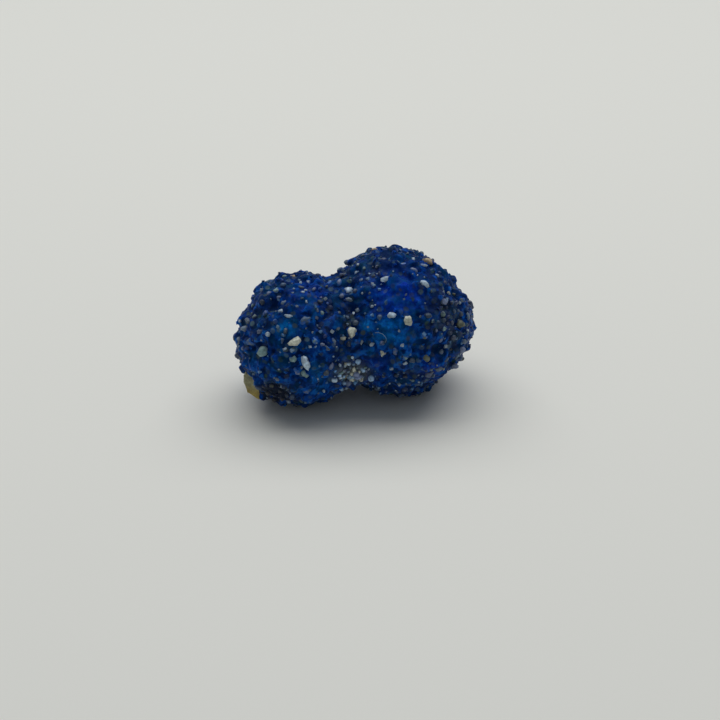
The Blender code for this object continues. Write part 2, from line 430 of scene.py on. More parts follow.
def skin_tree():
    """Marks each lump's tone, the hollows and what faces the sky, and rubs the base flat."""
    sockets = {"Tone Width": "Float", "Hollow Reach": "Int", "Hollow Depth": "Float"}
    tree, given, result = new_geometry_tree("crust skin", sockets)
    place = wire(tree, "GeometryNodeInputPosition")
    density = calculate(tree, "DIVIDE", 1.0, given["Tone Width"])
    cells = {"Vector": place, "Scale": density}
    cells = wire(tree, "ShaderNodeTexVoronoi", cells, out="Color")
    tone = wire(tree, "FunctionNodeSeparateColor", {"Color": cells}, out="Red")
    spread = {"Value": place, "Iterations": given["Hollow Reach"]}
    around = wire(tree, "GeometryNodeBlurAttribute", spread, data_type="FLOAT_VECTOR")
    rise = wire(tree, "ShaderNodeVectorMath", {0: around, 1: place}, operation="SUBTRACT")
    outwards = wire(tree, "GeometryNodeInputNormal")
    along = {0: rise, 1: outwards}
    below = wire(tree, "ShaderNodeVectorMath", along, "Value", operation="DOT_PRODUCT")
    hollow = calculate(tree, "DIVIDE", below, given["Hollow Depth"])
    skyward = wire(tree, "ShaderNodeSeparateXYZ", {"Vector": outwards}, out="Z")
    geometry = given["Geometry"]
    for name, value in (("tone", tone), ("hollow", hollow), ("skyward", skyward)):
        geometry = stored(tree, geometry, name, value)
    tree.links.new(rubbed_flat(tree, geometry), result)
    return tree


def seen_places(mesh):
    """Each vertex's place, how far across and up it is seen, and how much it faces the view."""
    points = np.empty(len(mesh.vertices) * 3)
    mesh.vertices.foreach_get("co", points)
    points = points.reshape(-1, 3)
    outwards = np.empty(len(mesh.vertices) * 3)
    mesh.vertex_normals.foreach_get("vector", outwards)
    outwards = outwards.reshape(-1, 3)
    from_eye = points - np.array(EYE)
    nearness = VIEW_DISTANCE / -(from_eye @ np.array(TOWARDS))
    across = (from_eye @ np.array(ACROSS)) * nearness / MM
    up = (from_eye @ np.array(UPWARDS)) * nearness / MM
    facing = np.clip((outwards @ np.array(TOWARDS)) * FACING_SHARPNESS, 0, 1)
    return points, across, up, facing


def store(mesh, name, values):
    """Stores a number for each vertex under a name."""
    made = mesh.attributes.new(name, "FLOAT", "POINT")
    made.data.foreach_set("value", np.asarray(values, dtype=np.float32))


def in_zones(zones, across, up, facing):
    """How strongly each vertex lies in the zones, from 0 to 1, fading out from their middles."""
    strength = np.zeros(len(across))
    for middle_across, middle_up, half_across, half_up, most in zones:
        away = ((across - middle_across) / half_across) ** 2 + ((up - middle_up) / half_up) ** 2
        strength = np.maximum(strength, most * np.exp(-away) * facing)
    return np.minimum(strength, 1)


def in_patches(points, size, seed):
    """Soft patches from 0 to 1, of the given size."""
    offset = Vector((seed, 2 * seed, 3 * seed))
    clouds = [noise.noise(Vector(point) / size + offset) for point in points]
    return np.clip((np.array(clouds) - PATCH_THRESHOLD) * PATCH_CONTRAST, 0, 1)


def chip_frame():
    """Where the chip is, and how it is turned."""
    return Matrix.Translation(CHIP_CENTRE) @ Matrix.Rotation(CHIP_TURN, 4, "Z")


def off_the_chip(mesh):
    """For each vertex, 0 on the chip of host rock and 1 away from it."""
    into_chip = chip_frame().inverted()
    clear = []
    for vert in mesh.vertices:
        place = into_chip @ vert.co
        inside = all(abs(place[axis]) < CHIP_SIZE[axis] / 2 + CHIP_MARGIN for axis in range(3))
        clear.append(0.0 if inside and place.x < CHIP_RIGHT + CHIP_MARGIN else 1.0)
    return clear


def make_room_for_chip(mesh):
    """Sinks the crust behind the front and the top of the chip of host rock."""
    into_chip = chip_frame().inverted()
    for vert in mesh.vertices:
        place = into_chip @ vert.co
        beside = abs(place.x) < CHIP_SIZE.x / 2 and place.x < CHIP_RIGHT
        if beside and abs(place.z) < CHIP_TOP + CHIP_ROOM and place.y < 0:
            place.y = max(place.y, CHIP_FRONT)
            place.z = min(place.z, CHIP_TOP)
            vert.co = chip_frame() @ place


def draw_one_skin(piece, smoothing):
    """Draws one closed skin over all of the piece, and softens it."""
    skin = piece.modifiers.new("one skin", "REMESH")
    skin.mode = "VOXEL"
    skin.voxel_size = CRUST_GRID
    skin.use_smooth_shade = True
    soften = piece.modifiers.new("soften", "SMOOTH")
    soften.iterations = smoothing
    settle_modifiers(piece)


crust_shape = bmesh.new()
crust_shape.from_mesh(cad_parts["azurite_nodule"].data)
bmesh.ops.remove_doubles(crust_shape, verts=crust_shape.verts, dist=MERGE_DISTANCE)
azurite_crust = mesh_object(crust_shape, "azurite_crust")
draw_one_skin(azurite_crust, FIRST_SMOOTHING)
inset = azurite_crust.modifiers.new("inset", "DISPLACE")
inset.strength = -CRUST_INSET
inset.mid_level = 0
settle_modifiers(azurite_crust)
store(azurite_crust.data, "off_the_chip", off_the_chip(azurite_crust.data))
make_room_for_chip(azurite_crust.data)
grain_rng = Random(2)
grain_shapes = shape_collection(
    "grain shape",
    [worn_grain(grain_rng, COATED_GRAIN_ROUGHNESS) for _ in range(COATED_GRAIN_SHAPES)],
)
run_geometry_nodes(
    azurite_crust,
    coated_grain_tree(),
    {
        "Shapes": grain_shapes,
        "Where": "off_the_chip",
        "Spacing": COATED_GRAIN_SPACING,
        "Least Size": COATED_GRAIN_SIZES[0],
        "Most Size": COATED_GRAIN_SIZES[1],
        "Lift": COATED_GRAIN_LIFT,
        "Seed": 1,
    },
)
draw_one_skin(azurite_crust, CRUST_SMOOTHING)
run_geometry_nodes(
    azurite_crust,
    skin_tree(),
    {"Tone Width": TONE_WIDTH, "Hollow Reach": HOLLOW_REACH, "Hollow Depth": HOLLOW_DEPTH},
)

points, across, up, facing = seen_places(azurite_crust.data)
clear_of_chip = np.array(off_the_chip(azurite_crust.data))
for mark, (zones, patch_size, patch_seed, patch_strength, least) in SURFACE_MARKS.items():
    strength = np.maximum(in_zones(zones, across, up, facing), least)
    if patch_size:
        hidden = (1 - facing) * patch_strength
        patches = in_patches(points, patch_size * MM, patch_seed)
        strength = np.maximum(strength, patches * hidden)
    store(azurite_crust.data, mark, strength * clear_of_chip)


def use_group(tree, group, inputs):
    """Places a shader node group in a material and gives its outputs."""
    return wire(tree, "ShaderNodeGroup", inputs, node_tree=group).node.outputs


def colour_stops(tree, factor, stops, interpolation="LINEAR"):
    """A colour ramp with the given (position, colour) stops."""
    socket = wire(tree, "ShaderNodeValToRGB", {"Fac": factor})
    ramp = socket.node.color_ramp
    ramp.interpolation = interpolation
    ramp.elements.remove(ramp.elements[0])
    ramp.elements[0].position = stops[0][0]
    ramp.elements[0].color = (*stops[0][1], 1)
    for position, colour in stops[1:]:
        ramp.elements.new(position).color = (*colour, 1)
    return socket


def attribute(tree, name):
    """The number stored on the mesh under a name."""
    return wire(tree, "ShaderNodeAttribute", out="Fac", attribute_name=name)


def mix(tree, factor, first, second, **settings):
    """A colour between two, or with blend_type set, one laid over the other in that way."""
    inputs = {"Factor": factor, "A": first, "B": second}
    return wire(tree, "ShaderNodeMix", inputs, data_type="RGBA", **settings)


def add_bumps(tree, shader, height, strength, distance):
    """Roughens a material's surface by a pattern of heights."""
    inputs = {"Strength": strength, "Distance": distance, "Height": height}
    tree.links.new(wire(tree, "ShaderNodeBump", inputs), shader["Normal"])


def mineral_grain_group():
    """Mottling, and the height of small flat facets, at a given size in millimetres."""
    results = {"Shade": "Float", "Height": "Float"}
    group, given, result = new_tree("ShaderNodeTree", "mineral grain", {"Size": "Float"}, results)
    place = wire(group, "ShaderNodeTexCoord", out="Object")
    density = calculate(group, "DIVIDE", 1 / MM, given["Size"])
    clouds = {"Vector": place, "Scale": density, "Detail": 3.0, "Roughness": 0.6}
    mottle = wire(group, "ShaderNodeTexNoise", clouds)
    facets = wire(group, "ShaderNodeTexVoronoi", {"Vector": place, "Scale": density})
    group.links.new(in_range(group, mottle, 0.3, 0.7), result["Shade"])
    group.links.new(facets, result["Height"])
    return group


# Blues by tone, and what each thing adds to the tone: the lump of crust and its mottling, each as
# a factor and an offset, then painted shade: in hollows, in pits, on the tops and near the base.
AZURITE_STOPS = [
    (0.0, (0.0015, 0.0145, 0.078)),
    (0.3, (0.002, 0.026, 0.150)),
    (0.6, (0.002, 0.043, 0.248)),
    (0.85, (0.003, 0.068, 0.35)),
    (1.0, (0.010, 0.115, 0.44)),
]
LUMP_TONE = (1.2, -0.12)
MOTTLE_TONE = (0.6, -0.3)
HOLLOW_PAINTED_SHADE = -0.22
PIT_PAINTED_SHADE = -0.9
SKYWARD_PAINTED_SHADE = -0.55
SKYWARD_SHADE_START = 0.3
BASE_PAINTED_SHADE = -0.5
BASE_SHADE_HEIGHT = 2.2 * MM

# Colours laid over the blues. A mottling pair is a factor and an offset, and teal comes in where a
# soft cloud goes from the first number of its range to the second.
ULTRAMARINE = (0.001, 0.050, 0.58, 1)
AZURE = (0.003, 0.26, 0.82, 1)
BRIGHT_BLUE_MOTTLING = (0.6, 0.4)
TEAL = (0.002, 0.062, 0.145, 1)
TEAL_PATCH_WIDTH = 1.3 * MM
TEAL_PATCH_RANGE = (0.50, 0.70)
TEAL_MOST = 0.6
SAND_DUST = (0.080, 0.105, 0.145, 1)
SAND_DUST_MOTTLING = (0.4, 0.05)
BARE_GROUND = (0.10, 0.125, 0.165, 1)
DARK_GROUND = (0.017, 0.024, 0.046, 1)

# Grains that show through the azurite: their width, how many there are, by sandiness, how their
# edges fade, how clearly each shows, and their colours.
VEILED_GRAIN_WIDTH = 0.55 * MM
VEILED_SHARE = (0.5, 0.40)
VEILED_EDGE = (0.50, 0.30)
VEILED_CLEARNESS = (0.6, 0.3)
VEILED_STOPS = [
    (0.0, (0.035, 0.065, 0.100)),
    (0.2, (0.040, 0.080, 0.075)),
    (0.4, (0.047, 0.066, 0.115)),
    (0.6, (0.058, 0.082, 0.082)),
    (0.8, (0.090, 0.150, 0.190)),
]


def crust_tone(group, shade, place):
    """The azurite's tone, from 0 for the darkest blue to 1 for the palest, with painted shade in
    it.
    """
    lump = scaled(group, attribute(group, "tone"), *LUMP_TONE)
    tone = calculate(group, "ADD", lump, scaled(group, shade, *MOTTLE_TONE))
    height = wire(group, "ShaderNodeSeparateXYZ", {"Vector": place}, out="Z")
    # Painted shade darkens hollows, pits, what faces the sky and what lies near the base.
    for strength, weight in (
        (attribute(group, "hollow"), HOLLOW_PAINTED_SHADE),
        (attribute(group, "pit_shade"), PIT_PAINTED_SHADE),
        (in_range(group, attribute(group, "skyward"), SKYWARD_SHADE_START, 1.0), SKYWARD_PAINTED_SHADE),
        (in_range(group, height, BASE_SHADE_HEIGHT, 0.0), BASE_PAINTED_SHADE),
    ):
        tone = scaled(group, strength, weight, tone)
    return tone


def with_patches(group, shade, place, blue):
    """The blue with its brighter patches, its teal ones and the dust of the sandy zones."""
    fullness = scaled(group, shade, *BRIGHT_BLUE_MOTTLING)
    for zone, colour in (("ultramarine", ULTRAMARINE), ("azure", AZURE)):
        blue = mix(group, product(group, attribute(group, zone), fullness), blue, colour)
    clouds = {"Vector": place, "Scale": 1 / TEAL_PATCH_WIDTH, "Detail": 2.0}
    clouds = wire(group, "ShaderNodeTexNoise", clouds)
    altered = in_range(group, clouds, *TEAL_PATCH_RANGE, most=TEAL_MOST)
    blue = mix(group, altered, blue, TEAL)
    dusty = scaled(group, shade, *SAND_DUST_MOTTLING)
    dusty = product(group, attribute(group, "sandiness"), dusty)
    return mix(group, dusty, blue, SAND_DUST)


def with_veiled_grains(group, place, crust):
    """The crust's colour with here and there a grain showing through it."""
    pattern = {"Vector": place, "Scale": 1 / VEILED_GRAIN_WIDTH}
    cells = wire(group, "ShaderNodeTexVoronoi", pattern).node.outputs
    chance = wire(group, "ShaderNodeSeparateColor", {"Color": cells["Color"]}).node.outputs
    share = scaled(group, attribute(group, "sandiness"), *VEILED_SHARE)
    chosen = calculate(group, "LESS_THAN", chance["Red"], share)
    edge = in_range(group, cells["Distance"], *VEILED_EDGE, interpolation_type="SMOOTHSTEP")
    veil = product(group, chosen, edge)
    veil = product(group, veil, scaled(group, chance["Green"], *VEILED_CLEARNESS))
    return mix(group, veil, crust, colour_stops(group, chance["Blue"], VEILED_STOPS, "CONSTANT"))


def azurite_colour_group():
    """The colour of the azurite crust and of what lies bare in it, by tone and by zone."""
    sockets = {"Shade": "Float"}
    results = {"Color": "Color"}
    group, given, result = new_tree("ShaderNodeTree", "azurite colour", sockets, results)
    place = wire(group, "ShaderNodeTexCoord", out="Object")
    tone = crust_tone(group, given["Shade"], place)
    colour = colour_stops(group, tone, AZURITE_STOPS)
    colour = with_patches(group, given["Shade"], place, colour)
    colour = with_veiled_grains(group, place, colour)
    colour = mix(group, attribute(group, "bare_sandstone"), colour, BARE_GROUND)
    colour = mix(group, attribute(group, "dark_sand"), colour, DARK_GROUND)
    group.links.new(colour, result["Color"])
    return group


def azurite_material():
    """Deep blue crystal that lets a little light in, with small facets."""
    finish, tree, shader = new_material("azurite")
    speckle = use_group(tree, mineral_grain, {"Size": 0.26})
    blue = use_group(tree, azurite_colour, {"Shade": speckle["Shade"]})["Color"]
    tree.links.new(blue, shader["Base Color"])
    gloss = in_range(tree, speckle["Shade"], 0.0, 1.0, 0.22, 0.50)
    tree.links.new(gloss, shader["Roughness"])
    shader["IOR"].default_value = 1.73
    shader["Specular IOR Level"].default_value = 0.018
    shader["Specular Tint"].default_value = (0.1, 0.45, 1.0, 1)
    shader["Subsurface Weight"].default_value = 0.5
    shader["Subsurface Radius"].default_value = (0.1, 0.3, 1.0)
    shader["Subsurface Scale"].default_value = 0.18 * MM
    add_bumps(tree, shader, speckle["Height"], strength=0.5, distance=0.05 * MM)
    return finish


mineral_grain = mineral_grain_group()
azurite_colour = azurite_colour_group()
azurite_finish = azurite_material()
azurite_crust.data.materials.clear()
azurite_crust.data.materials.append(azurite_finish)
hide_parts("azurite_nodule")
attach(azurite_crust, "root")


# --- Azurite crystals ---
# Small blocky crystals with flat shining faces that grew out of the crust all over.

CRYSTAL_SHAPES = 10
CRYSTAL_CUTS = 3
CRYSTAL_CUT_REACH = (0.36, 0.5)
CRYSTAL_SPACING = 0.70 * MM
CRYSTAL_SIZES = (0.10 * MM, 0.26 * MM)
CRYSTAL_LIFT = -0.05


def cut_off(shape, direction, reach):
    """Cuts off what lies further than the given reach in a direction, and closes the cut."""
    bmesh.ops.bisect_plane(
        shape,
        geom=shape.verts[:] + shape.edges[:] + shape.faces[:],
        plane_co=direction * reach,
        plane_no=direction,
        clear_outer=True,
    )
    bmesh.ops.holes_fill(shape, edges=shape.edges)


def cut_crystal(rng):
    """A block about 1 across, with corners cut off by flat faces."""
    shape = bmesh.new()
    bmesh.ops.create_cube(shape, size=1)
    for _ in range(CRYSTAL_CUTS):
        cut_off(shape, random_direction(rng), rng.uniform(*CRYSTAL_CUT_REACH))
    bmesh.ops.recalc_face_normals(shape, faces=shape.faces)
    return shape


def scattered_tree():
    """Spreads shapes over the crust, each with its own tone, tint and coat."""
    kinds = {"Tone": "Float", "Tint": "Float", "Coat": "Float"}
    sockets = dict(SPREAD_SOCKETS)
    for quality in kinds:
        sockets[f"Least {quality}"] = "Float"
        sockets[f"Most {quality}"] = "Float"
    sockets["Material"] = "Material"
    tree, given, result = new_geometry_tree("scattered grains", sockets)
    geometry = spread_instances(tree, given)
    for seed, quality in enumerate(kinds, start=4):
        inputs = {"Min": given[f"Least {quality}"], "Max": given[f"Most {quality}"], "Seed": seed}
        value = wire(tree, "FunctionNodeRandomValue", inputs)
        geometry = stored(tree, geometry, quality.lower(), value, domain="INSTANCE")
    realized = wire(tree, "GeometryNodeRealizeInstances", {"Geometry": geometry})
    finish = {"Geometry": rubbed_flat(tree, realized), "Material": given["Material"]}
    tree.links.new(wire(tree, "GeometryNodeSetMaterial", finish), result)
    return tree


scattered = scattered_tree()


def clearance_tree():
    """Marks how far each part of a grain stands clear of the crust, in millimetres."""
    tree, given, result = new_geometry_tree("clearance", {"Crust": "Object"})
    crust = wire(tree, "GeometryNodeObjectInfo", {"Object": given["Crust"]}, out="Geometry")
    nearest = {"Geometry": crust}
    away = wire(tree, "GeometryNodeProximity", nearest, "Distance", target_element="FACES")
    away = calculate(tree, "DIVIDE", away, MM)
    grains = rubbed_flat(tree, given["Geometry"])
    tree.links.new(stored(tree, grains, "clearance", away), result)
    return tree


clearance = clearance_tree()


def scatter(name, shapes, finish, where, spacing, sizes, lift, tones, tints, coats, seed):
    """A piece made of many shapes spread over the crust, thickest where the named zone is."""
    piece = bpy.data.objects.new(name, azurite_crust.data.copy())
    bpy.context.scene.collection.objects.link(piece)
    values = {
        "Shapes": shapes,
        "Where": where,
        "Spacing": spacing,
        "Lift": lift,
        "Seed": seed,
        "Material": finish,
    }
    ranges = {"Size": sizes, "Tone": tones, "Tint": tints, "Coat": coats}
    for quality, (least, most) in ranges.items():
        values[f"Least {quality}"] = least
        values[f"Most {quality}"] = most
    run_geometry_nodes(piece, scattered, values)
    run_geometry_nodes(piece, clearance, {"Crust": azurite_crust})
    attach(piece, "root")


crystal_rng = Random(3)
crystal_shapes = shape_collection(
    "crystal shape", [cut_crystal(crystal_rng) for _ in range(CRYSTAL_SHAPES)]
)
scatter(
    "small_crystals",
    crystal_shapes,
    azurite_finish,
    where="off_the_chip",
    spacing=CRYSTAL_SPACING,
    sizes=CRYSTAL_SIZES,
    lift=CRYSTAL_LIFT,
    tones=(0.35, 1.0),
    tints=(0, 0),
    coats=(1, 1),
    seed=2,
)


# --- Pale sand grains ---
# Quartz and feldspar grains that the azurite holds but did not coat, or coated only in part. The
# large ones are each in their own place; smaller ones lie thickest in the groove and on the right.

# A grain's tint is a place in this row of colours, each of which takes up the same share of it.
TINTS = {
    "tan": (0.38, 0.29, 0.18),
    "cream": (0.55, 0.57, 0.48),
    "white": (0.47, 0.60, 0.73),
    "ice": (0.29, 0.46, 0.68),
    "sky": (0.13, 0.30, 0.58),
    "lilac": (0.17, 0.22, 0.37),
    "green": (0.20, 0.32, 0.33),
    "grey": (0.15, 0.21, 0.29),
    "slate": (0.07, 0.125, 0.22),
    "olive": (0.11, 0.125, 0.09),
    "brown": (0.045, 0.035, 0.028),
    "black": (0.014, 0.018, 0.028),
}

# Each grain: how far across and up it is seen from the aim point, its length and width, all in
# millimetres, its turn in degrees, its tint, and how much of it azurite coats.
NAMED_GRAINS = [
    (-5.3, 1.5, 1.10, 0.68, 25, "cream", 0.0),
    (-4.5, -0.2, 1.35, 0.60, 105, "white", 0.05),
    (-8.1, 0.6, 1.00, 0.85, 0, "green", 0.1),
    (-5.5, 0.1, 0.65, 0.60, 0, "green", 0.15),
    (-7.6, 2.1, 0.45, 0.40, 0, "white", 0.0),
    (-6.5, 4.0, 0.55, 0.45, 0, "white", 0.0),
    (-5.9, 3.6, 0.85, 0.35, -15, "white", 0.1),
    (-6.2, 0.9, 0.42, 0.38, 0, "white", 0.1),
    (-6.4, 1.6, 0.50, 0.33, 90, "slate", 0.2),
    (-7.5, 5.5, 0.50, 0.40, 40, "lilac", 0.1),
    (-6.9, 5.7, 0.60, 0.45, 20, "green", 0.1),
    (-6.7, 5.1, 0.45, 0.42, 0, "lilac", 0.1),
    (-6.3, 4.7, 0.62, 0.52, 60, "grey", 0.2),
    (-4.2, 6.4, 0.45, 0.38, 0, "white", 0.1),
    (-4.9, 6.0, 0.80, 0.26, -10, "grey", 0.1),
    (-4.7, 5.6, 0.36, 0.30, 0, "white", 0.2),
    (-4.4, 4.8, 0.34, 0.30, 0, "white", 0.2),
    (-5.2, 4.4, 0.34, 0.30, 0, "slate", 0.1),
    (-3.5, 4.1, 0.36, 0.32, 0, "lilac", 0.2),
    (-3.1, 3.9, 0.34, 0.32, 0, "green", 0.1),
    (-3.6, 3.5, 0.55, 0.33, -20, "lilac", 0.1),
    (-4.5, 3.3, 1.00, 0.75, 40, "slate", 0.3),
    (-3.7, 1.7, 0.70, 0.60, 0, "green", 0.45),
    (-2.2, 1.6, 0.80, 0.48, 110, "grey", 0.2),
    (-3.1, 1.3, 0.55, 0.34, 0, "lilac", 0.2),
    (-2.7, 1.0, 0.60, 0.40, -40, "olive", 0.3),
    (-9.0, 1.5, 0.95, 0.75, 30, "grey", 0.35),
    (-10.0, 1.5, 0.70, 0.40, 95, "grey", 0.1),
    (-4.5, -1.2, 0.80, 0.60, 110, "green", 0.2),
    (-5.2, -0.8, 0.85, 0.68, 80, "lilac", 0.4),
    (-5.9, -3.4, 0.62, 0.42, -35, "white", 0.0),
    (-3.0, -2.5, 0.52, 0.28, 110, "white", 0.1),
    (-4.4, -2.6, 0.75, 0.52, 0, "lilac", 0.3),
    (-6.8, -1.6, 0.36, 0.34, 0, "grey", 0.1),
    (-2.5, 6.4, 0.68, 0.60, 0, "grey", 0.4),
    (-1.7, 6.4, 0.72, 0.55, 80, "lilac", 0.3),
    (-1.8, 2.6, 0.42, 0.36, 0, "grey", 0.1),
    (-1.7, 3.9, 0.48, 0.40, 0, "olive", 0.2),
    (-5.5, 6.9, 0.60, 0.40, 0, "tan", 0.1),
    (-1.0, 5.7, 1.10, 0.75, 20, "white", 0.0),
    (-0.9, 4.95, 0.65, 0.55, 0, "grey", 0.0),
    (-1.5, 5.3, 0.40, 0.34, 0, "lilac", 0.0),
    (2.1, 6.7, 0.95, 0.50, 12, "white", 0.0),
    (5.3, 6.3, 0.85, 0.52, -40, "white", 0.0),
    (5.3, 7.8, 0.68, 0.34, 0, "white", 0.15),
    (3.6, 7.9, 0.62, 0.40, 0, "white", 0.2),
    (4.4, 8.3, 0.45, 0.32, 70, "white", 0.0),
    (0.2, 8.6, 0.40, 0.30, 20, "slate", 0.0),
    (-0.4, 8.0, 0.36, 0.30, 0, "slate", 0.0),
    (-0.3, 7.2, 0.50, 0.40, 60, "white", 0.15),
    (0.1, 6.6, 0.52, 0.45, 0, "grey", 0.1),
    (4.5, 7.4, 0.75, 0.48, -50, "lilac", 0.2),
    (2.6, 3.7, 0.78, 0.50, 10, "white", 0.0),
    (1.6, 3.5, 0.50, 0.42, 50, "slate", 0.1),
    (4.0, 3.2, 0.82, 0.70, 80, "cream", 0.1),
    (-0.7, 2.2, 0.92, 0.76, 75, "cream", 0.0),
    (-1.4, 1.8, 0.60, 0.34, 0, "cream", 0.1),
    (-0.2, 4.1, 0.52, 0.42, 0, "grey", 0.1),
    (1.0, 4.4, 0.30, 0.26, 0, "white", 0.1),
    (0.8, 5.5, 0.28, 0.25, 0, "slate", 0.1),
    (0.2, 5.5, 0.26, 0.24, 0, "white", 0.2),
    (1.0, 1.3, 0.48, 0.34, 30, "white", 0.0),
    (3.5, 1.2, 0.32, 0.30, 0, "white", 0.0),
    (1.9, 0.6, 0.80, 0.50, 95, "cream", 0.15),
    (2.9, 0.7, 0.62, 0.42, 80, "lilac", 0.2),
    (3.7, 0.2, 0.75, 0.62, 20, "green", 0.35),
    (5.4, 0.1, 0.78, 0.66, 0, "olive", 0.2),
    (5.3, 1.9, 0.66, 0.58, 0, "olive", 0.35),
    (2.6, -0.7, 0.50, 0.42, 60, "white", 0.1),
    (6.8, 5.9, 0.50, 0.36, 90, "grey", 0.1),
    (7.3, 5.5, 0.62, 0.40, 100, "cream", 0.1),
    (7.7, 5.4, 0.36, 0.32, 0, "olive", 0.0),
    (8.4, 4.9, 0.66, 0.42, 0, "grey", 0.2),
    (9.3, 4.1, 0.80, 0.42, 100, "white", 0.15),
    (8.9, 3.6, 0.66, 0.36, 90, "grey", 0.1),
    (8.3, 3.0, 0.75, 0.66, 0, "olive", 0.25),
    (6.7, 1.7, 0.66, 0.42, 70, "lilac", 0.2),
    (6.7, 0.7, 0.52, 0.46, 0, "grey", 0.2),
    (8.5, 1.5, 0.60, 0.48, 0, "grey", 0.1),
    (7.1, 0.0, 0.60, 0.26, 40, "slate", 0.1),
    (7.9, 0.2, 0.60, 0.26, 50, "grey", 0.1),
    (4.7, -2.0, 0.78, 0.42, 0, "slate", 0.1),
    (5.5, 8.2, 0.92, 0.58, -15, "tan", 0.0),
    (1.3, 9.1, 0.72, 0.34, 0, "tan", 0.2),
]
NAMED_GRAIN_ROUGHNESS = 0.32
NAMED_GRAIN_TONES = (0.9, 1.2)

# A grain's depth and how far it is sunk, as shares of its width, and how far it is then lifted. A
# fully coated one is sunk further.
NAMED_GRAIN_DEPTH = 0.85
NAMED_GRAIN_LIFT = 0.03 * MM
NAMED_GRAIN_SINK = 0.2
COATED_SINK = 0.35

# How much of a grain is coated: its own share made stronger, less a margin on every grain, and
# less again the narrower it is. The smaller sand keeps CLEAR_MARGIN away from it.
COAT_STRENGTH = 1.5
BARE_MARGIN = 0.3
SMALL_GRAIN_MARGIN = 0.2
CLEAR_MARGIN = 0.35 * MM


def surface_tree(piece):
    """The piece's surface, for finding where a ray meets it."""
    shape = bmesh.new()
    shape.from_mesh(piece.data)
    tree = BVHTree.FromBMesh(shape)
    shape.free()
    return tree


def crust_place(across, up):
    """The crust's point and outward direction at a place on the display side."""
    on_plane = VIEW_AIM + (ACROSS * across + UPWARDS * up) * MM
    point, outwards, _, _ = crust_surface.ray_cast(EYE, (on_plane - EYE).normalized())
    if point is None:
        point, outwards, _, _ = crust_surface.find_nearest(on_plane)
    return point, outwards


crust_surface = surface_tree(azurite_crust)


def span_along(shape, axis):
    """How far a shape reaches along an axis."""
    reaches = [vert.co[axis] for vert in shape.verts]
    return max(reaches) - min(reaches)


def seen_flat(outwards):
    """The turn of a grain that lies half flat on the crust and half square to the view."""
    depth = (outwards + TOWARDS).normalized()
    sideways = UPWARDS.cross(depth).normalized()
    return Matrix((sideways, depth.cross(sideways), depth)).transposed().to_4x4()


def add_shape(whole, single):
    """Adds a shape to another, and gives its vertices there."""
    mesh = bpy.data.meshes.new("one grain")
    single.to_mesh(mesh)
    single.free()
    before = len(whole.verts)
    whole.from_mesh(mesh)
    bpy.data.meshes.remove(mesh)
    whole.verts.ensure_lookup_table()
    return whole.verts[before:]


def tint_number(name):
    """Where a tint stands in the row, counted from 0."""
    return list(TINTS).index(name)


def named_grains(rng):
    """The grains with places of their own, as one shape, and each one's middle and reach."""
    shape = bmesh.new()
    tint_layer = shape.verts.layers.float.new("tint")
    coat_layer = shape.verts.layers.float.new("coat")
    tone_layer = shape.verts.layers.float.new("tone")
    places = []
    for across, up, length, width, turn, tint, coat in NAMED_GRAINS:
        place, outwards = crust_place(across, up)
        single = worn_grain(rng, NAMED_GRAIN_ROUGHNESS)
        sides = (length, width, width * NAMED_GRAIN_DEPTH)
        sizes = [side * MM / span_along(single, axis) for axis, side in enumerate(sides)]
        spin = Matrix.Rotation(radians(turn), 4, "Z")
        sunk = (NAMED_GRAIN_SINK + COATED_SINK * coat) * width * MM
        middle = place + outwards * (NAMED_GRAIN_LIFT - sunk)
        placed = Matrix.Translation(middle) @ seen_flat(outwards) @ spin
        sized = placed @ Matrix.Diagonal((*sizes, 1))
        bmesh.ops.transform(single, matrix=sized, verts=single.verts)
        for vert in add_shape(shape, single):
            vert[tint_layer] = (tint_number(tint) + 0.5) / len(TINTS)
            vert[coat_layer] = coat * COAT_STRENGTH - BARE_MARGIN - SMALL_GRAIN_MARGIN / width
            vert[tone_layer] = rng.uniform(*NAMED_GRAIN_TONES)
        places.append((middle, length * MM / 2))
    return shape, places


def tint_range(first, last):
    """The span of tints from one name to another, for a scatter."""
    return tint_number(first) / len(TINTS), (tint_number(last) + 1) / len(TINTS)


# Brightness by mottling and by each grain's own tone, each as a factor and an offset. A grain gets
# painted shade up to the first height over the crust, brightest from the second, in millimetres.
PALE_MOTTLING = (0.75, 0.55)
PALE_TONE = (0.75, 0.30)
CONTACT_SHADE_HEIGHTS = (0.03, 0.18)
CONTACT_SHADE_BRIGHTNESS = (0.5, 1.1)

# The coat creeps up a grain to a height, takes more of what faces the sky, and ends softly.
COAT_CREEP = 0.12
SKYWARD_COAT = 0.5
COAT_SOFTNESS = 0.22


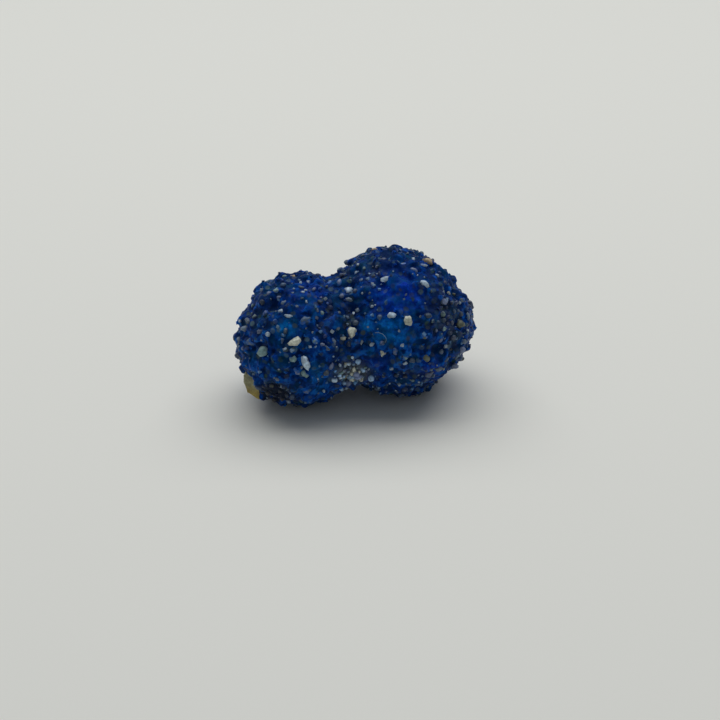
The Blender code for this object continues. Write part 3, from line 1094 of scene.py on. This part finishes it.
def pale_sand_material():
    """Bare mineral by tint with painted shade near the crust, and azurite over the coated part."""
    finish, tree, shader = new_material("pale sand")
    speckle = use_group(tree, mineral_grain, {"Size": 0.22})
    height = attribute(tree, "clearance")
    tint_stops = [(number / len(TINTS), colour) for number, colour in enumerate(TINTS.values())]
    stone = colour_stops(tree, attribute(tree, "tint"), tint_stops, "CONSTANT")
    mottling = scaled(tree, speckle["Shade"], *PALE_MOTTLING)
    brightness = product(tree, mottling, scaled(tree, attribute(tree, "tone"), *PALE_TONE))
    # Painted shade: each grain is darker where it meets the crust and brighter where it stands
    # clear.
    painted_contact_shade = in_range(tree, height, *CONTACT_SHADE_HEIGHTS, *CONTACT_SHADE_BRIGHTNESS)
    brightness = product(tree, brightness, painted_contact_shade)
    bare = mix(tree, 1.0, stone, brightness, blend_type="MULTIPLY")

    skyward = calculate(tree, "MAXIMUM", attribute(tree, "skyward"), 0.0)
    coat = scaled(tree, skyward, SKYWARD_COAT, attribute(tree, "coat"))
    creep = in_range(tree, height, COAT_CREEP / 3, COAT_CREEP, 1.0, 0.0)
    coat = calculate(tree, "SUBTRACT", calculate(tree, "ADD", coat, creep), speckle["Shade"])
    coated = in_range(tree, coat, -COAT_SOFTNESS, COAT_SOFTNESS)
    blue = use_group(tree, azurite_colour, {"Shade": speckle["Shade"]})["Color"]
    tree.links.new(mix(tree, coated, bare, blue), shader["Base Color"])
    shader["Roughness"].default_value = 0.42
    add_bumps(tree, shader, speckle["Height"], strength=0.5, distance=0.03 * MM)
    return finish


def clear_of_grains(grain_places):
    """For each vertex of the crust, 0 near the grains with places of their own and 1 elsewhere."""
    near_grain = np.zeros(len(points), dtype=np.float32)
    for middle, reach in grain_places:
        away = np.linalg.norm(points - np.array(middle), axis=1)
        near_grain = np.maximum(near_grain, away < reach + CLEAR_MARGIN)
    return 1 - near_grain


pale_finish = pale_sand_material()
shape, grain_places = named_grains(Random(7))
large_sand_grains = mesh_object(shape, "large_sand_grains")
large_sand_grains.data.materials.append(pale_finish)
run_geometry_nodes(large_sand_grains, clearance, {"Crust": azurite_crust})
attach(large_sand_grains, "root")

room_for_sand = clear_of_grains(grain_places)
for zone_name in ("sandiness", "bare_sandstone", "dark_sand"):
    share = np.empty(len(points), dtype=np.float32)
    zone = azurite_crust.data.attributes[zone_name].data
    zone.foreach_get("value", share)
    zone.foreach_set("value", share * room_for_sand)

scatter(
    "sand_grains",
    grain_shapes,
    pale_finish,
    where="sandiness",
    spacing=0.42 * MM,
    sizes=(0.30 * MM, 0.74 * MM),
    lift=-0.02,
    tones=(-0.1, 0.9),
    tints=tint_range("lilac", "slate"),
    coats=(-0.6, 0.6),
    seed=4,
)
# Small bright specks: bare pale grains, and partly painted glints for light on crystal faces.
scatter(
    "sand_specks",
    crystal_shapes,
    pale_finish,
    where="specks_and_glints",
    spacing=0.42 * MM,
    sizes=(0.11 * MM, 0.29 * MM),
    lift=0.05,
    tones=(0.1, 1.1),
    tints=tint_range("white", "sky"),
    coats=(-1.7, -0.6),
    seed=5,
)


# --- Bare sandstone in the groove and dark sand under the small ball ---
# Where the balls meet at the bottom the azurite left the sand bare: close grey-white grains with
# dark gaps. Low on the small ball the grains are brown and black, stained by iron and manganese.

scatter(
    "groove_sandstone",
    grain_shapes,
    pale_finish,
    where="bare_sandstone",
    spacing=0.24 * MM,
    sizes=(0.26 * MM, 0.60 * MM),
    lift=0.10,
    tones=(0.7, 1.5),
    tints=tint_range("cream", "grey"),
    coats=(-0.8, 0.3),
    seed=6,
)
scatter(
    "dark_sand",
    grain_shapes,
    pale_finish,
    where="dark_sand",
    spacing=0.40 * MM,
    sizes=(0.28 * MM, 0.70 * MM),
    lift=0.0,
    tones=(0.0, 0.6),
    tints=tint_range("slate", "black"),
    coats=(0.3, 0.9),
    seed=7,
)


# --- Chip of host sandstone ---
# A broken block of buff sandstone that the small ball grew against and still holds, low on its
# left. Its faces are rough breaks, greener above and rustier below.

# Each broken edge is cut square to a direction, this far from the chip's middle.
CHIP_BREAKS = [
    (Vector((1.0, 0.0, 0.0)), CHIP_RIGHT),
    (Vector((-0.41, 0.0, -0.91)), 0.84 * MM),
    (Vector((-0.6, -0.5, 0.6)), 1.50 * MM),
    (Vector((0.1, -0.35, 0.93)), 1.25 * MM),
    (Vector((-0.75, -0.6, -0.2)), 1.15 * MM),
    (Vector((-0.7, 0.7, 0.0)), 1.05 * MM),
]
CHIP_SUBDIVISIONS = 7
CHIP_ROUGHNESS = 0.10 * MM
CHIP_GRAIN = 0.35 * MM
CHIP_GREEN = (0.36, 0.35, 0.21, 1)
CHIP_RUST = (0.46, 0.35, 0.10, 1)
CHIP_RUST_HEIGHTS = (2.7 * MM, 1.7 * MM)


def buff_sandstone_material():
    """Rough buff stone, green above and rusty below."""
    finish, tree, shader = new_material("buff sandstone")
    speckle = use_group(tree, mineral_grain, {"Size": 0.3})
    place = wire(tree, "ShaderNodeTexCoord", out="Object")
    height = wire(tree, "ShaderNodeSeparateXYZ", {"Vector": place}, out="Z")
    rusty = in_range(tree, height, *CHIP_RUST_HEIGHTS, interpolation_type="SMOOTHSTEP")
    stone = mix(tree, rusty, CHIP_GREEN, CHIP_RUST)
    brightness = scaled(tree, speckle["Shade"], 0.5, 0.55)
    stone = mix(tree, 1.0, stone, brightness, blend_type="MULTIPLY")
    tree.links.new(stone, shader["Base Color"])
    shader["Roughness"].default_value = 0.8
    add_bumps(tree, shader, speckle["Height"], strength=0.6, distance=0.04 * MM)
    return finish


chip_shape = bmesh.new()
bmesh.ops.create_cube(chip_shape, size=1)
bmesh.ops.transform(chip_shape, matrix=Matrix.Diagonal((*CHIP_SIZE, 1)), verts=chip_shape.verts)
for direction, reach in CHIP_BREAKS:
    cut_off(chip_shape, direction.normalized(), reach)
bmesh.ops.recalc_face_normals(chip_shape, faces=chip_shape.faces)
bmesh.ops.triangulate(chip_shape, faces=chip_shape.faces)
bmesh.ops.subdivide_edges(
    chip_shape, edges=chip_shape.edges, cuts=CHIP_SUBDIVISIONS, use_grid_fill=True
)
bmesh.ops.transform(chip_shape, matrix=chip_frame(), verts=chip_shape.verts)
chip_shape.normal_update()
for vert in chip_shape.verts:
    vert.co += vert.normal * noise.noise(vert.co / CHIP_GRAIN) * CHIP_ROUGHNESS
sandstone_chip = mesh_object(chip_shape, "sandstone_chip")
sandstone_chip.data.materials.append(buff_sandstone_material())
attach(sandstone_chip, "root")


# --- Lint ---
# A single pale fibre of lint that lies in a hook on the large ball, caught by both its ends.

# How far across and up each point is seen from the aim point, and its height over the crust, in
# millimetres.
LINT_ROUTE = [
    (1.0, 2.1, 0.01),
    (1.3, 2.3, 0.13),
    (1.7, 2.25, 0.16),
    (2.1, 1.95, 0.16),
    (2.2, 1.6, 0.13),
    (2.0, 1.4, 0.01),
]
LINT_THICKNESS = 0.03 * MM
LINT_STOPS = [(0.0, (0.22, 0.30, 0.37)), (1.0, (0.38, 0.50, 0.59))]


def lint_material():
    """Dull fibre, a little uneven in colour."""
    finish, tree, shader = new_material("pale lint")
    speckle = use_group(tree, mineral_grain, {"Size": 0.12})
    colour = colour_stops(tree, speckle["Shade"], LINT_STOPS)
    tree.links.new(colour, shader["Base Color"])
    shader["Roughness"].default_value = 0.7
    return finish


route = []
for across_place, up_place, height_over in LINT_ROUTE:
    place, outwards = crust_place(across_place, up_place)
    route.append(place + outwards * height_over * MM)
lint_curve = bpy.data.curves.new("lint", "CURVE")
lint_curve.dimensions = "3D"
lint_curve.bevel_depth = LINT_THICKNESS / 2
lint_curve.bevel_resolution = 1
lint_curve.use_fill_caps = True
fibre = lint_curve.splines.new("NURBS")
fibre.points.add(len(route) - 1)
for point, place in zip(fibre.points, route):
    point.co = (*place, 1)
fibre.use_endpoint_u = True
fibre.order_u = 4
lint_path = bpy.data.objects.new("lint path", lint_curve)
bpy.context.scene.collection.objects.link(lint_path)
seen = lint_path.evaluated_get(bpy.context.evaluated_depsgraph_get())
lint = bpy.data.objects.new("lint", bpy.data.meshes.new_from_object(seen))
bpy.context.scene.collection.objects.link(lint)
bpy.data.objects.remove(lint_path)
lint.data.materials.append(lint_material())
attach(lint, "root")
